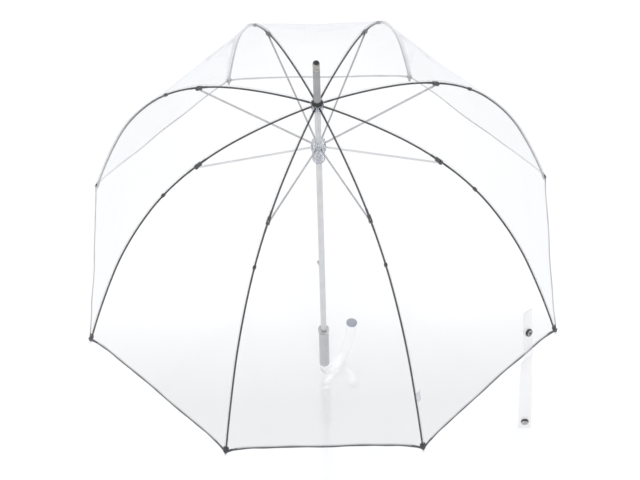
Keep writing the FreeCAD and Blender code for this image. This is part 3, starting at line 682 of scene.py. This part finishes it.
POCKET_START, POCKET_LONG = -11 * mm, 13 * mm   # from the rib's end, down along the rib
POCKET_RINGS = 12
# pockets on the far ribs, which take the paler tape of painted light
PAINTED_PALE_POCKETS = (2, 3)


def pocket_piece(number):
    """Small rounded corner pocket that takes the rib's end and narrows towards the hem."""
    r, z, slope = TIP[:3]
    sideways = rib_directions(number)[1]
    down, above = slope_directions(number, slope)
    rings = []
    for k in range(POCKET_RINGS + 1):
        share = k / POCKET_RINGS
        centre = in_space(number, r, z) + down * (POCKET_START + POCKET_LONG * share) + above * 0.6 * mm
        swell = 0.55 + 0.45 * math.sin(math.pi * min(1, 0.25 + share))
        half_wide = (5.6 - 3.1 * share ** 0.8) * mm * swell
        half_tall = (2.75 + 0.15 * math.sin(7 * share)) * mm
        rings.append([centre + sideways * math.cos(t) * half_wide + above * math.sin(t) * half_tall
                      for t in circle_angles(20)])
    points, faces = skinned(rings)
    cloth = far_pocket_tape if number in PAINTED_PALE_POCKETS else pocket_tape
    mesh_piece(f"corner_pocket_{number}", points, faces, cloth, f"rib_{number}_out")


LABEL_RIB = 7
LABEL_TALL, LABEL_WIDE, LABEL_THICK = 20 * mm, 10 * mm, 0.35 * mm
LABEL_TOP = RIB_LONG - 122 * mm             # length along the rib at the label's upper edge
LABEL_COLUMNS = 8


def label_piece():
    """Blank vinyl tag beside the seam of rib 7, on the side of rib 8, bowed away from the film."""
    outward = rib_directions(LABEL_RIB)[0]
    fine_line = trace(outer_strips[-1][0], [LOWER_ARC], 2 * mm)
    rings = []
    for sample in fine_line:
        if not LABEL_TOP <= sample[3] <= LABEL_TOP + LABEL_TALL:
            continue
        front = []
        for k in range(LABEL_COLUMNS + 1):
            share = (k / LABEL_COLUMNS) * LABEL_WIDE / (sample[0] * HALF_CHORD_LONG)
            curl = 1.3 * mm * math.sin(math.pi * k / LABEL_COLUMNS) + 0.9 * mm
            front.append(film_point(LABEL_RIB, 1, sample, share) + outward * curl)
        back = [point - outward * LABEL_THICK for point in front]
        rings.append(front + back[::-1])
    points, faces = skinned(rings)
    mesh_piece("blank_label", points, faces, label_film, f"rib_{LABEL_RIB}_out")


for rib in range(1, RIB_COUNT + 1):
    for side, word in SIDES:
        hem_tape_piece(rib, side, word)
    seam_piece(rib, inner_line, "top", f"rib_{rib}_in")
    seam_piece(rib, outer_line, "side", f"rib_{rib}_out")
    tie_piece(rib)
    pocket_piece(rib)
label_piece()


# ---------------------------------------------------------------- closing strap and snaps

def main_directions(node):
    """A flat part's directions from its longest to its thinnest."""
    points = np.array([v.co for v in NODES[node].data.vertices], float)
    axes = np.linalg.svd(points - points.mean(0), full_matrices=False)[2]
    return [Vector(axis) for axis in axes]


def eased(share):
    """A share from 0 to 1 with a gentle start and end."""
    return share * share * (3 - 2 * share)


STRAP_THICK = 0.7 * mm
STRAP_DRIFT = 4 * mm            # how far the hanging band swings aside just under the hem
STRAP_BOW = 2.2 * mm            # how far it bows towards the front
STRAP_INSET = 1.5 * mm          # the band's stretch on the film ends this far inside its box
TAIL_DROP = 8 * mm              # the hanging stretch starts this far below the tail's top
ON_FILM, OVER_HEM, HANGING = 24, 12, 40     # steps along the band's three stretches
HEM_TURN = 0.35                 # share of the turn to the front that the band makes over the hem
TURN_LONG = 0.45                # share of the hanging stretch in which it makes the rest


def strap_line(base_long):
    """The band's middle line, the share of the turn to the front at each point, and its place at the hem."""
    base_low, base_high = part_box("strap_base")
    tail_low, tail_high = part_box("strap_tail")
    base_middle = (base_low + base_high) / 2
    base_half = (base_high.z - base_low.z) / 2 / base_long.z - STRAP_INSET
    hem = base_middle - base_long * base_half
    tail_x, tail_y = (tail_low.x + tail_high.x) / 2, (tail_low.y + tail_high.y) / 2
    tail_top = Vector((tail_x, tail_y, tail_high.z))
    path = [base_middle + base_long * base_half * (1 - 2 * k / ON_FILM) for k in range(ON_FILM + 1)]
    turn = [0.0] * len(path)
    for k in range(1, OVER_HEM + 1):
        ease = eased(k / OVER_HEM)
        straight = hem.lerp(tail_top - UP * TAIL_DROP, k / OVER_HEM)
        path.append(straight - FRONT_SIDE * STRAP_DRIFT * ease)
        turn.append(HEM_TURN * ease)
    start = path[-1]
    length = start.z - tail_low.z
    for k in range(1, HANGING + 1):
        share = k / HANGING
        bow = STRAP_BOW * math.sin(math.pi * share) * (1 - share)
        drift = STRAP_DRIFT * (1 - share) ** 1.5
        path.append(Vector((tail_x - drift, tail_y - bow, start.z - length * share)))
        turn.append(HEM_TURN + (1 - HEM_TURN) * eased(min(1, share / TURN_LONG)))
    return path, turn, hem


def strap_piece():
    """One soft band: its upper half lies on the film, then it passes over the hem, turns to the front
    and hangs."""
    base_long, base_side = main_directions("strap_base")[:2]
    if base_long.z < 0:
        base_long = -base_long
    if base_side.x < 0:
        base_side = -base_side
    path, turn, hem = strap_line(base_long)
    tail_low, tail_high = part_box("strap_tail")
    half_wide = (tail_high.x - tail_low.x) / 2
    rings = []
    for k, point in enumerate(path):
        tangent = tangent_at(path, k)
        side = square_to(base_side.lerp(FRONT_SIDE, turn[k]), tangent)
        out = tangent.cross(side)
        rings.append([point + side * boxier(math.cos(t), 0.35) * half_wide
                      + out * boxier(math.sin(t), 0.6) * STRAP_THICK / 2 for t in circle_angles(16)])
    points, faces = skinned(rings)
    piece = mesh_piece("closing_strap", points, faces, strap_film, None)
    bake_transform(piece)
    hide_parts("strap_base", "strap_tail")


def snap_profile(radius, rim, boss, hole):
    """Pressed snap: flat back, rolled rim, dished face and a round boss with a dimple of depth hole. rim
    and boss are heights above the back."""
    return [(0, 0), (radius * 0.93, 0), (radius, 0.4 * mm), (radius, rim - 0.9 * mm),
            (radius * 0.96, rim - 0.25 * mm), (radius * 0.88, rim), (radius * 0.78, rim - 0.1 * mm),
            (radius * 0.70, rim - 0.9 * mm), (radius * 0.50, rim - 1.0 * mm),
            (radius * 0.42, boss - 0.3 * mm), (radius * 0.35, boss), (radius * 0.20, boss - 0.05 * mm),
            (radius * 0.13, boss - hole), (0, boss - hole - 0.1 * mm)]


FACE_HEIGHT = 1.5 * mm          # only what stands this far above a snap's back gets the painted highlight


def snap_piece(name, node, body, rim, boss, hole, bright_from, bright_to):
    """A snap half. Its face carries a painted highlight, a silver ring between two shares of its radius,
    bright_from and bright_to.
    """
    low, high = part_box(node)
    vertices = [v.co for v in NODES[node].data.vertices]
    middle = (low + high) / 2
    axis = main_directions(node)[2]
    if axis.y > 0:
        axis = -axis
    depth = [(vertex - middle).dot(axis) for vertex in vertices]
    radius = max((vertex - middle - axis * d).length for vertex, d in zip(vertices, depth))
    back = middle + axis * min(depth)
    points, faces = lathed(snap_profile(radius, rim, boss, hole), back, axis)
    piece = mesh_piece(name, points, faces, gunmetal, body)
    piece.data.materials.append(snap_highlight_metal)
    for polygon in piece.data.polygons:
        reach = polygon.center - back
        height = reach.dot(axis)
        across = (reach - axis * height).length / radius
        if height > FACE_HEIGHT and bright_from < across < bright_to:
            polygon.material_index = 1
    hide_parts(node)


strap_piece()
snap_piece("snap_stud", "strap_stud", "strap_top", rim=4.4 * mm, boss=5.0 * mm, hole=0.3 * mm,
           bright_from=0.36, bright_to=0.76)
snap_piece("snap_socket", "strap_socket", "strap_end", rim=5.0 * mm, boss=4.8 * mm, hole=1.2 * mm,
           bright_from=0.15, bright_to=0.93)


# ---------------------------------------------------------------- clear crook and crown rosette

ROD = 9 * mm                    # radius of the clear handle
# the crook's bends from its foot to its arm, each a radius and a turn
CROOK_BENDS = [(20 * mm, math.radians(90)), (30 * mm, math.radians(50)), (95 * mm, math.radians(33))]
CROOK_STEP = 2.5 * mm
ARM = 28 * mm                   # straight end of the crook


def crook_piece():
    """Clear J-shaped handle round the foot of the shaft: one swept rod, bent towards the end cap's side."""
    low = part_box("handle_hook")[0]
    cap_low, cap_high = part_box("handle_end_cap")
    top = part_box("handle_collar")[0].z
    toward = Vector((cap_low.x + cap_high.x, cap_low.y + cap_high.y, 0)).normalized()
    reach, z, heading = 0.0, low.z + ROD + CROOK_BENDS[0][0], -math.pi / 2
    path = [UP * (top + (z - top) * k / 20) for k in range(21)]
    for radius, turn in CROOK_BENDS:
        steps = max(8, round(radius * turn / CROOK_STEP))
        for k in range(1, steps + 1):
            a = heading + turn * k / steps
            path.append(toward * (reach + radius * (math.sin(a) - math.sin(heading)))
                        + UP * (z + radius * (math.cos(heading) - math.cos(a))))
        reach += radius * (math.sin(heading + turn) - math.sin(heading))
        z += radius * (math.cos(heading) - math.cos(heading + turn))
        heading += turn
    along = toward * math.cos(heading) + UP * math.sin(heading)
    path += [toward * reach + UP * z + along * ARM * k / 8 for k in range(1, 9)]
    points, faces = skinned(round_tube(path, ROD, toward, sides=48))
    piece = mesh_piece("clear_crook", points, faces, acrylic, "shaft")
    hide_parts("handle_hook")


def washer_piece():
    """Black moulded washer under the ferrule: wavy rim and a low dome up to the sleeve."""
    low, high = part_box("top_washer")
    radius = (high.x - low.x) / 2
    profile = [(0, 0), (radius * 0.96, 0), (radius, 0.5 * mm), (radius * 0.97, 1.3 * mm),
               (radius * 0.90, 2.2 * mm), (radius * 0.80, 3.4 * mm), (radius * 0.71, 4.8 * mm),
               (radius * 0.655, 6.4 * mm), (radius * 0.61, 6.9 * mm), (0, 6.9 * mm)]
    points, faces = lathed(profile, UP * low.z, UP, sides=96, lobes=RIB_COUNT, lobe_depth=0.035)
    piece = mesh_piece("washer_dome", points, faces, black_plastic, "shaft")
    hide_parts("top_washer")


ROSETTE_SIDES = 96


def rosette_piece():
    """Clear scalloped disc that clamps the gores' points, under the washer's rim."""
    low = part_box("top_washer")[0]
    profile = [(6.2 * mm, 0), (10.2 * mm, -0.15 * mm), (10.9 * mm, 0.1 * mm), (10.9 * mm, 0.5 * mm),
               (10.2 * mm, 0.8 * mm), (9.0 * mm, 0.7 * mm)]
    points = []
    for t in circle_angles(ROSETTE_SIDES):
        spoke = Vector((math.cos(t), math.sin(t), 0))
        scallop = 1 + 0.05 * math.cos(RIB_COUNT * t)
        points += [spoke * r * scallop + UP * (low.z + h) for r, h in profile]
    # the last ring of points joins the first
    faces = [tuple(corner % len(points) for corner in face)
             for face in grid_faces(ROSETTE_SIDES + 1, len(profile), wrap=True)]
    mesh_piece("crown_rosette", points, faces, tip_plastic, "shaft")


crook_piece()
washer_piece()
rosette_piece()


# ---------------------------------------------------------------- finishes of the frame's own parts

# far ribs whose lower parts carry a painted highlight
PAINTED_PALE_RIBS = ("rib_2_outer", "rib_3_outer")
# stretchers that take the painted lit copy and the painted shaded copy of their steel
PAINTED_LIT_STRETCHERS = ("stretcher_5", "stretcher_8")
PAINTED_SHADED_STRETCHERS = ("stretcher_2", "stretcher_3")
SINGLE_FINISHES = {
    "shaft_tube": silver,
    "shaft_foot_plug": pale_plug,
    "ferrule_sleeve": ferrule_silver,
    "ferrule_cap": ferrule_plastic,
    "ferrule_plug": black_plastic,
    "top_washer": black_plastic,
    "crown_notch": runner_plastic,
    "runner_body": runner_plastic,
    "handle_collar": bright,
    "handle_end_cap": slate_plastic,
}


def finish_of(node):
    """The finish of one of the frame's own parts; None leaves a part as it is."""
    if node in PAINTED_PALE_RIBS:
        return far_rib_paint
    if node.endswith(("_inner", "_outer", "_wire")):
        return rib_paint
    if node.endswith("_bracket"):
        return dark_metal
    if node.endswith("_tip"):
        return tip_plastic
    if node in PAINTED_LIT_STRETCHERS:
        return painted_lit_stretcher
    if node in PAINTED_SHADED_STRETCHERS:
        return shaded_stretcher_metal
    if node.startswith("stretcher"):
        return satin_stretcher
    if node.endswith("_catch_spring"):
        return spring_steel
    return SINGLE_FINISHES.get(node)


for node, obj in NODES.items():
    finish = finish_of(node)
    if finish is None:
        continue
    if not obj.data.materials:
        obj.data.materials.append(finish)
    for slot in obj.material_slots:
        slot.material = finish


# ---------------------------------------------------------------- floor, light, camera

FLOOR_GLOSS = 0.17
FLOOR_HALF = 14                 # half the floor's side
FLOOR_GAP = 0.0005              # the floor lies just under the crook's lowest point
ROOM_LIGHT = 0.92
WALL_LIGHT, CEILING_LIGHT = 0.88, 1.10      # what mirrors see low down and high up
WALL_END, CEILING_START = -0.05, 0.7        # heights of a direction between which one blends into the other
LIGHTS_AIM = Vector((0, 0, 0.3))
# name, place, side and power of each softbox
SOFTBOXES = (("back_softbox", (-0.6, 2.6, 3.6), 3.0, 21), ("camera_softbox", (0.1, -2.6, 3.9), 1.6, 38))


def floor_material():
    """Pale glossy studio floor."""
    s = Shader("pale_floor")
    mottle = s.noise(3, 4)
    bare = s.blend_colour(mottle, (0.91, 0.91, 0.915), (0.93, 0.93, 0.935))
    matt = s.surface("Diffuse", {"Color": bare})
    gloss = s.surface("Glossy", {"Color": (0.95, 0.95, 0.96, 1), "Roughness": 0.12})
    return s.finish(s.mix(FLOOR_GLOSS, matt, gloss))


def studio_world():
    """White room: even light for matt surfaces, and for mirrors a bright ceiling over greyer walls."""
    world = bpy.data.worlds.new("soft_white")
    world.use_nodes = True
    tree = world.node_tree
    background = tree.nodes["Background"]
    path = tree.nodes.new("ShaderNodeLightPath")
    direction = tree.nodes.new("ShaderNodeTexCoord")
    height = tree.nodes.new("ShaderNodeSeparateXYZ")
    wall = tree.nodes.new("ShaderNodeMapRange")
    choose = tree.nodes.new("ShaderNodeMix")
    for name, value in (("From Min", WALL_END), ("From Max", CEILING_START),
                        ("To Min", WALL_LIGHT), ("To Max", CEILING_LIGHT)):
        wall.inputs[name].default_value = value
    tree.links.new(direction.outputs["Generated"], height.inputs[0])
    tree.links.new(height.outputs[2], wall.inputs["Value"])
    tree.links.new(path.outputs["Is Diffuse Ray"], choose.inputs["Factor"])
    tree.links.new(wall.outputs[0], choose.inputs[2])
    choose.inputs[3].default_value = ROOM_LIGHT
    tree.links.new(choose.outputs[0], background.inputs["Strength"])
    background.inputs["Color"].default_value = (0.99, 0.995, 1.0, 1)
    return world


def build_stage():
    """Floor, room light and softboxes."""
    mesh = bpy.data.meshes.new("floor")
    corners = [(x * FLOOR_HALF, y * FLOOR_HALF, 0) for x, y in ((-1, -1), (1, -1), (1, 1), (-1, 1))]
    mesh.from_pydata(corners, [], [(0, 1, 2, 3)])
    mesh.materials.append(floor_material())
    floor = bpy.data.objects.new("floor", mesh)
    floor.location.z = cad_box[0].z - FLOOR_GAP
    scene.collection.objects.link(floor)
    scene.world = studio_world()
    for name, place, size, power in SOFTBOXES:
        lamp = bpy.data.lights.new(name, "AREA")
        lamp.energy, lamp.size = power, size
        light = bpy.data.objects.new(name, lamp)
        light.location = place
        light.visible_glossy = False
        light.rotation_euler = (LIGHTS_AIM - Vector(place)).to_track_quat("-Z", "Y").to_euler()
        scene.collection.objects.link(light)


CAMERA_PLACE = (0.0351, -3.0792, 4.6007)
CAMERA_DOWN, CAMERA_YAW, CAMERA_ROLL = 53.68, -0.69, -1.66     # degrees
SENSOR_WIDE, LENS_LONG = 36, 172.85         # millimetres


def build_camera():
    """Long lens looking steeply down at the open umbrella from the front."""
    pitch, yaw, roll = (math.radians(angle) for angle in (CAMERA_DOWN, CAMERA_YAW, CAMERA_ROLL))
    ahead = Vector((math.sin(yaw) * math.cos(pitch), math.cos(yaw) * math.cos(pitch), -math.sin(pitch)))
    level = Vector((math.cos(yaw), -math.sin(yaw), 0))
    above = level.cross(ahead)
    right = level * math.cos(roll) + above * math.sin(roll)
    above = above * math.cos(roll) - level * math.sin(roll)
    data = bpy.data.cameras.new("camera")
    data.sensor_width, data.lens = SENSOR_WIDE, LENS_LONG
    data.clip_start, data.clip_end = 0.1, 60
    camera = bpy.data.objects.new("camera", data)
    turn = Matrix((right, above, -ahead)).transposed().to_4x4()
    camera.matrix_world = Matrix.Translation(CAMERA_PLACE) @ turn
    scene.collection.objects.link(camera)
    scene.camera = camera


build_stage()
build_camera()
scene.view_settings.view_transform = "Standard"
scene.cycles.transparent_max_bounces = 48
scene.cycles.max_bounces = 24
scene.cycles.transmission_bounces = 20
